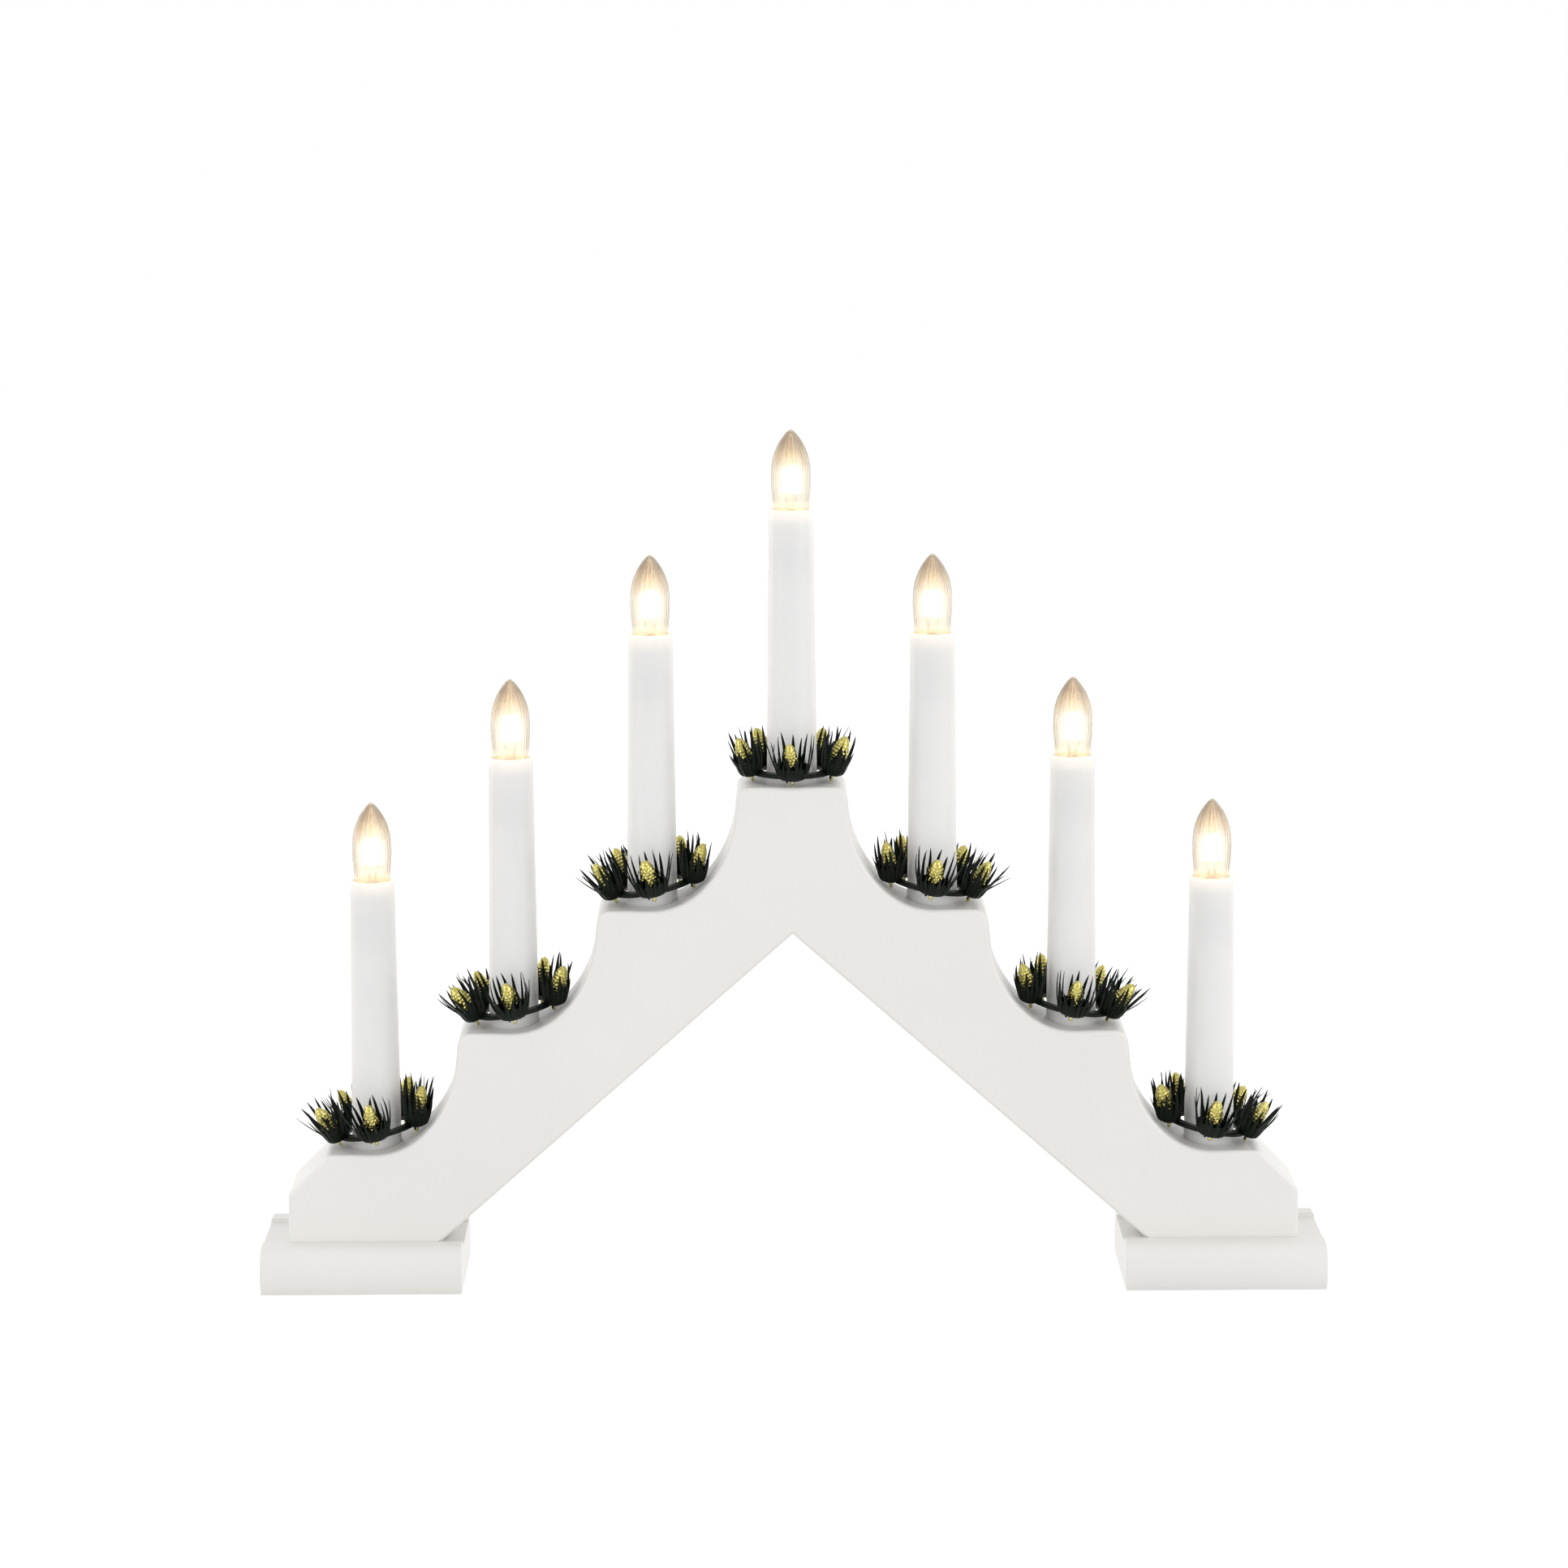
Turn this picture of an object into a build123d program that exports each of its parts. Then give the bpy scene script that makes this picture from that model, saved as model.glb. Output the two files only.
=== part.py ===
from build123d import *
import math
import os

# Seven-light candle arch: a stepped wooden arch on two moulded feet, with candle sleeves,
# screw-in lamps, a series circuit inside, and a needle ring with cones round each candle.
# Millimetres. X runs along the arch, Y from the front to the back, Z up from the table.

# Arch
side_stations = 3
candle_spacing = 52.5
step_rise = 46.4
low_platform_height = 50.6
arch_thickness = 35.0
web_depth = 55.5
platform_reach = 20.1
corner_radius = 5.0
end_reach = 32.5
end_chamfer = 15.0
end_radius = 4.0
arch_edge_radius = 1.5

# Control points of the scoop between two platforms, as shares of its run and of the rise.
scoop_shares = ((0.0, 0.0), (0.556, 0.0), (0.909, 0.377), (0.963, 0.746))

# Feet
foot_height = 17.3
foot_depth = 62.0
foot_margin = 10.0
foot_tuck = 1.5
lip_inset = 8.0
groove_depth = 1.8
groove_clearance = 0.3
foot_edge_radius = 0.8
bulge_height_share = 0.40
shoulder_height_share = 0.72
shoulder_tuck_share = 0.5

# Foot screws
screw_diameter = 4.0
screw_head_diameter = 8.0
screw_length = 30.0
screw_point = 3.0
screw_clearance = 0.1
screw_row_offset = 11.0
screw_end_inset = 10.0

# Wiring channel under the arch, its cover strips and the cord outlet
channel_width = 9.0
channel_depth = 8.0
strip_width = 15.0
strip_thickness = 1.5
strip_clearance = 0.1
strip_foot_gap = 1.0
wire_bore_diameter = 8.0
outlet_width = 6.0
outlet_height = 3.6
outlet_lip_gap = 0.6
outlet_inset = 37.0

# Candle sleeves
candle_length = 102.0
candle_base_diameter = 18.8
candle_rim_diameter = 16.6
candle_rim_radius = 1.0
mouth_diameter = 13.9
socket_depth = 25.0
sleeve_bore_diameter = 13.2
sleeve_floor = 2.0
spigot_diameter = 12.0
spigot_length = 12.0
spigot_bore_diameter = 7.4
spigot_clearance = 0.15

# Lamps with a screw cap
lamp_length = 29.4
lamp_diameter = 15.0
lamp_rib_count = 12
lamp_valley_share = 0.94
glass_wall = 0.7
neck_drop = 5.0
neck_diameter = 8.4
neck_insert = 3.0
cap_diameter = 9.6
cap_length = 9.0
cap_wall = 0.35
cap_lip = 0.9
contact_height = 2.4
contact_pill_diameter = 3.4
contact_pill_height = 1.0
contact_clearance = 0.2
filament_wire = 0.6
filament_span = 4.4
filament_height = 20.0

# Places on the glass, as shares: how far down from the tip, and the radius there.
glass_shares = ((0.0, 0.10), (0.08, 0.38), (0.21, 0.69), (0.42, 0.95), (0.62, 1.0), (1.0, 0.90))

# Lamp sockets
socket_clearance = 0.15
socket_floor = 2.0
shell_clearance = 0.25
shell_wall = 0.4
shell_length = 10.0
holder_rim_gap = 4.0
leaf_width = 3.0
leaf_thickness = 0.5
leaf_gap = 0.3

# Wires of the series circuit
wire_diameter = 1.6
wire_sides = 6
wire_pair_offset = 1.6
wire_bend = 2.4
return_offset = 2.6
link_offset = 1.0

# Needle rings
cup_count = 5
needles_per_cup = 13
ring_hole_diameter = 22.4
ring_outer_diameter = 31.0
ring_plate = 1.6
eyelet_diameter = 6.8
cup_circle_diameter = 31.6
cup_height = 5.0
cup_width = 12.0
cup_depth = 8.8
cup_foot_share = 0.6
cup_lean = 14.0
cup_seat_gap = 0.1
needle_length = 13.0
needle_width = 1.3
needle_sink = 0.7
needle_flare = 13.0
needle_flare_inner_share = 0.45
needle_shortest_share = 0.78
needle_place_share = 0.83
ring_tilt = 11.0
ring_shift = 0.8
ring_seat_gap = 0.25

# Golden cones
cone_height = 12.0
cone_diameter = 6.2
cone_sides = 6
stem_width = 1.4
stem_clearance = 0.15
stem_drop = 2.4

# Tiers of scales on a cone, as shares of its height and of its radius.
cone_shares = ((0.0, 0.45), (0.14, 0.86), (0.26, 0.74), (0.40, 1.0), (0.52, 0.78), (0.66, 0.88),
               (0.78, 0.52), (1.0, 0.14))

# Overrun for cutting bodies
overrun = 1.0

# Worked out from the values above
station_count = 2 * side_stations + 1
middle_station = side_stations + 1
slope = step_rise / candle_spacing
top_height = low_platform_height + side_stations * step_rise
apex_height = top_height - web_depth
base_height = foot_height - groove_depth
end_x = side_stations * candle_spacing + end_reach
base_inner_x = (apex_height - base_height) / slope
foot_inner_x = base_inner_x - foot_margin
foot_outer_x = end_x + foot_margin
slope_angle = math.atan(slope)
channel_rise = channel_depth / math.cos(slope_angle)
strip_rise = strip_thickness / math.cos(slope_angle)
strip_gap_rise = strip_clearance / math.cos(slope_angle)
rim_radius = candle_rim_diameter / 2
holder_length = socket_depth - holder_rim_gap
cap_top = -neck_drop
cap_bottom = cap_top - cap_length
thread_radius = cap_diameter / 2 + shell_clearance
cup_radius = cup_circle_diameter / 2
stations = range(1, station_count + 1)


def station_x(station):
    return (station - middle_station) * candle_spacing


def platform_z(station):
    return low_platform_height + step_rise * (side_stations - abs(station - middle_station))


def rim_z(station):
    return platform_z(station) + candle_length


def underside_z(x):
    return apex_height - slope * abs(x)


def flat(points):
    """Face in the XZ plane from (x, z) corners."""
    return make_face(Polyline([(x, 0, z) for x, z in points], close=True))


def slab(face, width):
    """Solid of a face in the XZ plane, as wide as given, centred on the front to back axis."""
    return extrude(face, amount=width / 2, dir=(0, 1, 0), both=True)


def turned(points):
    """Solid of revolution about Z from (radius, z) corners."""
    return revolve(flat(points), Axis.Z)


def pillar(radius, low, high):
    """Upright cylinder on the Z axis between two heights."""
    return Pos(0, 0, low) * Cylinder(radius, high - low, align=(Align.CENTER, Align.CENTER, Align.MIN))


def frustum_stack(sections):
    """Closed solid through level polygons with the same number of corners, with flat sides between."""
    faces = []
    for lower, upper in zip(sections, sections[1:]):
        for i in range(len(lower)):
            j = (i + 1) % len(lower)
            faces.append(Face(Wire.make_polygon([lower[i], lower[j], upper[j], upper[i]])))
    faces.append(Face(Wire.make_polygon(sections[0])))
    faces.append(Face(Wire.make_polygon(sections[-1])))
    return Solid(Shell(faces))


def level_polygon(radii, z):
    """Corners at evenly spaced angles, one for each radius, at one height."""
    step = 2 * math.pi / len(radii)
    return [Vector(r * math.cos(i * step), r * math.sin(i * step), z) for i, r in enumerate(radii)]


def arch_side():
    """Right half of the outline, from the corner of the top platform round to the apex below."""
    edges = []
    for step in range(side_stations):
        axis_x = (step + 1) * candle_spacing
        low_z = top_height - (step + 1) * step_rise
        run = candle_spacing - platform_reach
        scoop = [(axis_x - u * run, 0, low_z + v * step_rise) for u, v in scoop_shares]
        corner = (axis_x - run, 0, low_z + step_rise)
        edges.append(Line(corner, scoop[-1]))
        edges.append(Bezier(*reversed(scoop)))
        last = step == side_stations - 1
        reach = end_reach - end_chamfer if last else platform_reach
        edges.append(Line(scoop[0], (axis_x + reach, 0, low_z)))
    chamfer_low = low_platform_height - end_chamfer
    edges.append(Line((end_x - end_chamfer, 0, low_platform_height), (end_x, 0, chamfer_low)))
    edges.append(Line((end_x, 0, chamfer_low), (end_x, 0, base_height)))
    edges.append(Line((end_x, 0, base_height), (base_inner_x, 0, base_height)))
    edges.append(Line((base_inner_x, 0, base_height), (0, 0, apex_height)))
    return Curve() + edges


def vertices_at(face, places):
    """Corners of a face at the given (x, z) places, on both sides of the middle."""
    return [v for v in face.vertices()
            if any(math.dist((abs(v.X), v.Z), place) < overrun for place in places)]


def arch_outline():
    right = arch_side()
    left = mirror(right, Plane.YZ)
    top = Line((-platform_reach, 0, top_height), (platform_reach, 0, top_height))
    face = make_face(Curve() + [top] + right.edges() + left.edges())
    corners = [(step * candle_spacing + platform_reach, top_height - step * step_rise)
               for step in range(side_stations)]
    face = fillet(vertices_at(face, corners), corner_radius)
    ends = [(end_x - end_chamfer, low_platform_height), (end_x, low_platform_height - end_chamfer)]
    return fillet(vertices_at(face, ends), end_radius)


def channel_side():
    """Wiring channel and strip seat of the right leg, as one cutting body."""
    low_x = base_inner_x + overrun
    seat_rise = strip_rise + strip_gap_rise
    seat = flat([(0, apex_height + seat_rise), (low_x, underside_z(low_x) + seat_rise),
                 (low_x, underside_z(low_x) - overrun), (0, apex_height - overrun)])
    trough = flat([(0, apex_height + channel_rise), (low_x, underside_z(low_x) + channel_rise),
                   (low_x, underside_z(low_x) - overrun), (0, apex_height - overrun)])
    outer_x = side_stations * candle_spacing + wire_bore_diameter / 2
    under = flat([(base_inner_x - overrun, base_height - overrun), (outer_x, base_height - overrun),
                  (outer_x, base_height + channel_depth), (base_inner_x - overrun, base_height + channel_depth)])
    return slab(seat, strip_width + 2 * strip_clearance) + slab(trough, channel_width) + slab(under, channel_width)


def screw_places():
    """Three screws in each foot: two beside the channel and one past its end."""
    places = []
    inner_x = base_inner_x + screw_end_inset
    outer_x = end_x - screw_end_inset
    for side in (-1, 1):
        places += [(side * inner_x, -screw_row_offset), (side * inner_x, screw_row_offset), (side * outer_x, 0)]
    return places


def screw(clearance):
    """Countersunk wood screw standing on its head, or with a clearance the hole that takes it."""
    shank = screw_diameter / 2 + clearance
    head = screw_head_diameter / 2 + clearance
    neck = head - shank
    top = screw_length + clearance
    return turned([(0, 0), (head, 0), (shank, neck), (shank, top - screw_point), (0, top)])


def arch_board():
    board = slab(arch_outline(), arch_thickness)
    half = arch_thickness / 2
    rim = [e for e in board.edges()
           if math.isclose(abs(e.center().Y), half, rel_tol=1e-4) and e.center().Z > foot_height
           and math.isclose(abs(e.start_point().Y), abs(e.end_point().Y), rel_tol=1e-4)]
    board = fillet(rim, arch_edge_radius)
    right = channel_side()
    cuts = [right, mirror(right, Plane.YZ)]
    for station in stations:
        x, z = station_x(station), platform_z(station)
        seat = pillar(spigot_diameter / 2 + spigot_clearance, z - spigot_length - spigot_clearance, z + overrun)
        spot_face = pillar(candle_base_diameter / 2 + spigot_clearance, z, z + spigot_length)
        low = max(underside_z(x), base_height)
        cuts += [Pos(x) * seat, Pos(x) * spot_face, Pos(x) * pillar(wire_bore_diameter / 2, low, z)]
    for x, y in screw_places():
        cuts.append(Pos(x, y, 0) * screw(screw_clearance))
    outlet_low = foot_height + outlet_lip_gap
    outlet = Pos(end_x - outlet_inset, 0, outlet_low) * Box(
        outlet_width, half + overrun, outlet_height, align=(Align.CENTER, Align.MIN, Align.MIN))
    return board - cuts - outlet


def foot():
    """Right foot: a moulded length with a groove for the arch along its top."""
    half = foot_depth / 2
    tuck_y = half - foot_tuck
    bulge_z = foot_height * bulge_height_share
    shoulder_z = foot_height * shoulder_height_share
    shoulder_y = half - foot_tuck * shoulder_tuck_share
    groove_y = (arch_thickness + groove_clearance) / 2
    x = foot_inner_x
    flank = ThreePointArc((x, tuck_y, 0), (x, half, bulge_z), (x, shoulder_y, shoulder_z))
    shoulder = TangentArc(flank @ 1, (x, half - lip_inset, foot_height), tangent=flank % 1)
    lip = Polyline([shoulder @ 1, (x, groove_y, foot_height), (x, groove_y, base_height), (x, 0, base_height)])
    back = Curve() + [Line((x, 0, 0), flank @ 0), flank, shoulder] + lip.edges()
    front = mirror(back, Plane.XZ)
    profile = make_face(Curve() + back.edges() + front.edges())
    body = extrude(profile, amount=foot_outer_x - foot_inner_x, dir=(1, 0, 0))
    ends = body.faces().filter_by(Axis.X)
    rim = [e for f in ends for e in f.edges() if e.center().Z > foot_height * bulge_height_share / 2
           and abs(e.center().Y) > groove_y]
    body = fillet(rim, foot_edge_radius)
    for x, y in screw_places():
        if x > 0:
            body -= Pos(x, y, 0) * screw(screw_clearance)
    return body


def cover_strip():
    """Right strip, seated in the underside from the apex to just above the foot."""
    low_x = (apex_height - foot_height - strip_foot_gap) / slope
    seat_x = strip_clearance
    face = flat([(seat_x, underside_z(seat_x)), (low_x, underside_z(low_x)),
                 (low_x, underside_z(low_x) + strip_rise), (seat_x, underside_z(seat_x) + strip_rise)])
    return slab(face, strip_width)


def candle_sleeve():
    """Sleeve with its platform at zero height: tapered outside, stepped bore, spigot below."""
    base = candle_base_diameter / 2
    mouth = mouth_diameter / 2
    bore = sleeve_bore_diameter / 2
    spigot = spigot_diameter / 2
    spigot_bore = spigot_bore_diameter / 2
    ledge_z = candle_length - socket_depth
    body = turned([(spigot_bore, -spigot_length), (spigot, -spigot_length), (spigot, 0), (base, 0),
                   (rim_radius, candle_length), (mouth, candle_length), (mouth, ledge_z), (bore, ledge_z),
                   (bore, sleeve_floor), (spigot_bore, sleeve_floor)])
    rim = [e for e in body.edges().filter_by(GeomType.CIRCLE)
           if math.isclose(e.center().Z, candle_length) and e.radius > mouth]
    return fillet(rim, candle_rim_radius)


def ribbed_section(radius, z):
    """Level section of the ribbed glass: crests and valleys in turn."""
    return level_polygon([radius, radius * lamp_valley_share] * lamp_rib_count, z)


def lamp_glass():
    """Envelope with the candle rim at zero height: ribbed outside, plain inside, open at the neck."""
    radius = lamp_diameter / 2
    neck = neck_diameter / 2
    neck_end = cap_top - neck_insert
    places = [(lamp_length * (1 - down), share * radius) for down, share in reversed(glass_shares)]
    outer = [ribbed_section(r, z) for z, r in [(neck_end, neck), (cap_top, neck)] + places]
    wall = glass_wall / lamp_valley_share
    inner_places = [(neck_end, neck), (cap_top, neck)] + places[:-1]
    inner = [level_polygon([r * lamp_valley_share - wall] * lamp_rib_count, z) for z, r in inner_places]
    return frustum_stack(outer) - frustum_stack(inner)


def lamp_cap():
    """Screw cap: a thin brass cup with a lip that keeps the insulator."""
    outer = cap_diameter / 2
    inner = outer - cap_wall
    lip = outer - cap_lip
    return turned([(lip, cap_bottom), (outer, cap_bottom), (outer, cap_top), (inner, cap_top),
                   (inner, cap_bottom + cap_wall), (lip, cap_bottom + cap_wall)])


def lamp_contact():
    """Insulator cone with the centre contact below it."""
    top = cap_bottom + cap_wall + contact_clearance
    seat = cap_diameter / 2 - cap_lip - contact_clearance
    flange = cap_diameter / 2 - cap_wall - contact_clearance
    pill = contact_pill_diameter / 2
    low = cap_bottom - contact_height
    return turned([(0, low), (pill, low), (pill, low + contact_pill_height), (seat, cap_bottom),
                   (seat, top), (flange, top), (flange, top + contact_pill_height), (0, top + contact_pill_height)])


def square_wire(path, width):
    """Wire with a square section along a path."""
    start = path % 0
    section = Plane(origin=path @ 0, z_dir=start) * Rectangle(width, width)
    return sweep(section, path=path)


def lamp_filament():
    """Two lead wires from the insulator with the filament bridging them in the middle of the glass."""
    half = filament_span / 2
    low = cap_bottom + cap_wall + contact_clearance + contact_pill_height + contact_clearance
    high = filament_height
    path = FilletPolyline([(-half, 0, low), (-half, 0, high), (half, 0, high), (half, 0, low)],
                          radius=half - filament_wire)
    return square_wire(path, filament_wire)


def socket_body():
    """Insulating holder with the candle rim at zero height, standing on the ledge in the sleeve."""
    low = -socket_depth
    outer = mouth_diameter / 2 - socket_clearance
    inner = thread_radius + shell_wall + socket_clearance
    top = low + holder_length
    return turned([(0, low), (outer, low), (outer, top), (inner, top), (inner, low + socket_floor),
                   (0, low + socket_floor)])


def socket_shell():
    """Brass shell that takes the thread of the lamp's cap."""
    top = -holder_rim_gap
    low = top - shell_length
    outer = thread_radius + shell_wall
    return turned([(thread_radius, low), (outer, low), (outer, top), (thread_radius, top)])


def socket_contact():
    """Leaf standing on the holder's floor, bent over to meet the lamp's centre contact."""
    low = -socket_depth + socket_floor
    high = cap_bottom - contact_height - leaf_gap
    half = leaf_width / 2
    t = leaf_thickness
    face = flat([(-half, low), (half + t, low), (half + t, high), (-half, high), (-half, high - t),
                 (half, high - t), (half, low + t), (-half, low + t)])
    return slab(face, leaf_width)


def wire_along(points):
    """Wire along straight runs joined by arcs, with a section of few sides because it is hidden."""
    path = FilletPolyline(points, radius=wire_bend)
    section = Plane(origin=path @ 0, z_dir=path % 0) * RegularPolygon(wire_diameter / 2, wire_sides)
    return sweep(section, path=path)


def channel_z(x):
    """Height of the wires where they lie in the channel."""
    return max(underside_z(x) + strip_rise + wire_diameter, base_height + wire_diameter)


def lamp_wires():
    """Links from socket to socket, the feed of the last socket and the return of the first."""
    wires = []
    for station in stations[:-1]:
        x1 = station_x(station) + wire_pair_offset
        x2 = station_x(station + 1) - wire_pair_offset
        z1, z2 = rim_z(station) - socket_depth, rim_z(station + 1) - socket_depth
        y = -link_offset
        points = [(x1, y, z1), (x1, y, channel_z(x1)), (x2, y, channel_z(x2)), (x2, y, z2)]
        bend_x = base_inner_x
        if min(abs(x1), abs(x2)) < bend_x < max(abs(x1), abs(x2)):
            corner_x = math.copysign(bend_x, x1)
            points.insert(2, (corner_x, y, channel_z(bend_x)))
        wires.append(wire_along(points))
    outlet_x = end_x - outlet_inset
    last_x = station_x(station_count) + wire_pair_offset
    feed_z = base_height + channel_depth / 2
    wires.append(wire_along([(last_x, -link_offset, rim_z(station_count) - socket_depth),
                             (last_x, -link_offset, feed_z), (outlet_x, -link_offset, feed_z)]))
    first_x = station_x(1)
    y = return_offset
    low_z = channel_z(base_inner_x)
    wires.append(wire_along([(first_x, y, rim_z(1) - socket_depth), (first_x, y, low_z),
                             (-base_inner_x, y, low_z), (0, y, channel_z(0)),
                             (base_inner_x, y, low_z), (outlet_x, y, low_z)]))
    return Compound(children=wires)


def needle(turn, place):
    """Three-sided needle, rooted in the top of a cup and leaning out from its middle."""
    phi = 2 * math.pi * turn
    across, along = cup_depth / 2, cup_width / 2
    root = Vector(needle_place_share * across * math.cos(phi), needle_place_share * along * math.sin(phi),
                  cup_height - needle_sink)
    outer = place % 2 == 0
    lean = math.tan(math.radians(needle_flare * (1 if outer else needle_flare_inner_share)))
    short = (place * 5 % needles_per_cup) / needles_per_cup
    length = needle_length * (1 - (1 - needle_shortest_share) * short)
    way = Vector(lean * math.cos(phi), lean * math.sin(phi), 1).normalized()
    tip = root + way * length
    half = needle_width / 2
    turns = [phi + k * 2 * math.pi / 3 for k in range(3)]
    corners = [root + Vector(half * math.cos(a), half * math.sin(a), 0) for a in turns]
    sides = [Face(Wire.make_polygon([corners[k], corners[(k + 1) % 3], tip])) for k in range(3)]
    return Solid(Shell([Face(Wire.make_polygon(corners))] + sides))


def cup_turns():
    """One cup faces the front, the others follow evenly round the ring."""
    return [Rot(0, 0, -90 + i * 360 / cup_count) for i in range(cup_count)]


def cup_places():
    return [turn * Pos(cup_radius) * Rot(0, cup_lean, 0) for turn in cup_turns()]


def stem_hole():
    """Square hole for a cone's stem, down through a cup and its eyelet."""
    hole = stem_width + 2 * stem_clearance
    return Pos(0, 0, cup_height / 2) * Box(hole, hole, cup_height + 2 * overrun)


def candle_ring():
    """Flat ring round the candle, with an eyelet for each cup."""
    plate = pillar(ring_outer_diameter / 2, 0, ring_plate)
    eyelet = Pos(cup_radius) * pillar(eyelet_diameter / 2, 0, ring_plate)
    plate = plate.fuse(*[turn * eyelet for turn in cup_turns()])
    holes = [place * stem_hole() for place in cup_places()]
    return plate - pillar(ring_hole_diameter / 2, -overrun, 2 * ring_plate) - holes


def needle_cups():
    """Cups of needles that stand on the eyelets of the ring."""
    foot_face = Ellipse(cup_depth / 2 * cup_foot_share, cup_width / 2 * cup_foot_share)
    cup = loft([foot_face, Pos(0, 0, cup_height) * Ellipse(cup_depth / 2, cup_width / 2)])
    cup = cup.fuse(*[needle((i + 0.5) / needles_per_cup, i) for i in range(needles_per_cup)]) - stem_hole()
    seat = pillar(ring_outer_diameter, -cup_height, ring_plate + cup_seat_gap)
    return [place * cup - seat for place in cup_places()]


def pine_cones():
    """Five cones of stacked scales, each with its stem through the cup."""
    radius = cone_diameter / 2
    tiers = [level_polygon([r * radius] * cone_sides, cup_height + stem_clearance + h * cone_height)
             for h, r in cone_shares]
    stem_high = cup_height + stem_clearance
    stem = Pos(0, 0, stem_high) * Box(stem_width, stem_width, stem_high + stem_drop,
                                      align=(Align.CENTER, Align.CENTER, Align.MAX))
    cone = frustum_stack(tiers).fuse(stem)
    return [place * cone for place in cup_places()]


def ring_place(station):
    """Side rings lean on the scoop, up towards the middle; the middle ring lies level."""
    side = station - middle_station
    towards_middle = -math.copysign(1, side) if side else 0
    lean = math.radians(ring_tilt) * abs(towards_middle)
    cup_tilt = math.radians(cup_lean)
    stem_reach = cup_radius - stem_drop * math.sin(cup_tilt)
    stem_low = stem_drop * math.cos(cup_tilt) + stem_width / 2 * math.sin(cup_tilt + lean)
    lift = stem_reach * math.sin(lean) + stem_low * math.cos(lean) + ring_seat_gap
    x = station_x(station) + ring_shift * towards_middle
    return Pos(x, 0, platform_z(station) + lift) * Rot(0, -ring_tilt * towards_middle, 0)


def write(name, shape):
    export_step(shape, f"parts/{name}.step")


os.makedirs("parts", exist_ok=True)

write("arch", arch_board())
right_foot = foot()
write("foot_right", right_foot)
write("foot_left", mirror(right_foot, Plane.YZ))
write("foot_screws", Compound(children=[Pos(x, y, 0) * screw(0) for x, y in screw_places()]))
right_strip = cover_strip()
write("cover_strip_right", right_strip)
write("cover_strip_left", mirror(right_strip, Plane.YZ))
write("lamp_wires", lamp_wires())

rims = [Pos(station_x(n), 0, rim_z(n)) for n in stations]
write("socket_bodies", Compound(children=[rim * socket_body() for rim in rims]))
write("socket_shells", Compound(children=[rim * socket_shell() for rim in rims]))
write("socket_contacts", Compound(children=[rim * socket_contact() for rim in rims]))

sleeve = candle_sleeve()
lamp_pieces = {"lamp_glass": lamp_glass(), "lamp_cap": lamp_cap(), "lamp_contact": lamp_contact(),
               "lamp_filament": lamp_filament()}
ring_pieces = [candle_ring()] + needle_cups()
cones = pine_cones()

for station in stations:
    x, z = station_x(station), platform_z(station)
    write(f"candle_sleeve_{station}", Pos(x, 0, z) * sleeve)
    for name, piece in lamp_pieces.items():
        write(f"{name}_{station}", Pos(x, 0, rim_z(station)) * piece)
    seat = ring_place(station)
    write(f"needle_ring_{station}", Compound(children=[seat * piece for piece in ring_pieces]))
    write(f"pine_cones_{station}", Compound(children=[seat * cone for cone in cones]))
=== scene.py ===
# %% [markdown]
# # Dressing a seven-light candle arch
# The part is a white wooden arch with seven electric candles, and round each candle lies a ring
# of dark needles with golden cones. The CAD model fixes every place and every motion, so the
# lesson starts by loading it as a frame. Blender adds what CAD leaves plain: paint, glass,
# glow, moulded needles and lacquered cones.

# %% Load the frame
import math
import random

import bpy
from mathutils import Matrix, Vector


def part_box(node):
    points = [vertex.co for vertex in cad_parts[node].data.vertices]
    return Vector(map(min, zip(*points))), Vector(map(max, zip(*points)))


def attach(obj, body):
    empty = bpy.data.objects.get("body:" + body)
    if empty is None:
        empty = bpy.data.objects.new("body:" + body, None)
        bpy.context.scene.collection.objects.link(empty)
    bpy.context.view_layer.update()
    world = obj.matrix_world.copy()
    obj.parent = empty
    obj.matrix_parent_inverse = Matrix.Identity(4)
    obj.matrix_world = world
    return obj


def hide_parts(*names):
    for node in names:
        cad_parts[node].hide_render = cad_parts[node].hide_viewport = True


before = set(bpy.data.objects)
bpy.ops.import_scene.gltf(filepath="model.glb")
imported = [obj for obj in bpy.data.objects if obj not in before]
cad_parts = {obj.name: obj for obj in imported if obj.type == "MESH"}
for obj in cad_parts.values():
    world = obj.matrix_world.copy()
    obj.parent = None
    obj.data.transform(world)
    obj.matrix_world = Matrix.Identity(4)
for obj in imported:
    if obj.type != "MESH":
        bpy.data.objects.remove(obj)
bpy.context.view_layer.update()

MM = 0.001
STATIONS = range(1, 8)
MIDDLE = 4

# %% [markdown]
# ## Camera
# A catalogue picture is taken from far away with a long lens, so the candles stay parallel.
# The place and the three angles below are worked out from the corners of the feet and the
# rims of the candles. A matrix of right, up and backward directions turns them into a camera.

# %% Camera
CAMERA_PLACE = Vector((-16.1, -1795.2, 497.4)) * MM
CAMERA_PITCH = math.radians(9.77)
CAMERA_YAW = math.radians(0.42)
CAMERA_ROLL = math.radians(-0.21)
SENSOR_WIDTH = 36.0
IMAGE_WIDTH = 1932
FOCAL_PIXELS = 6000


def add_to_scene(name, data):
    thing = bpy.data.objects.new(name, data)
    bpy.context.scene.collection.objects.link(thing)
    return thing


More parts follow.
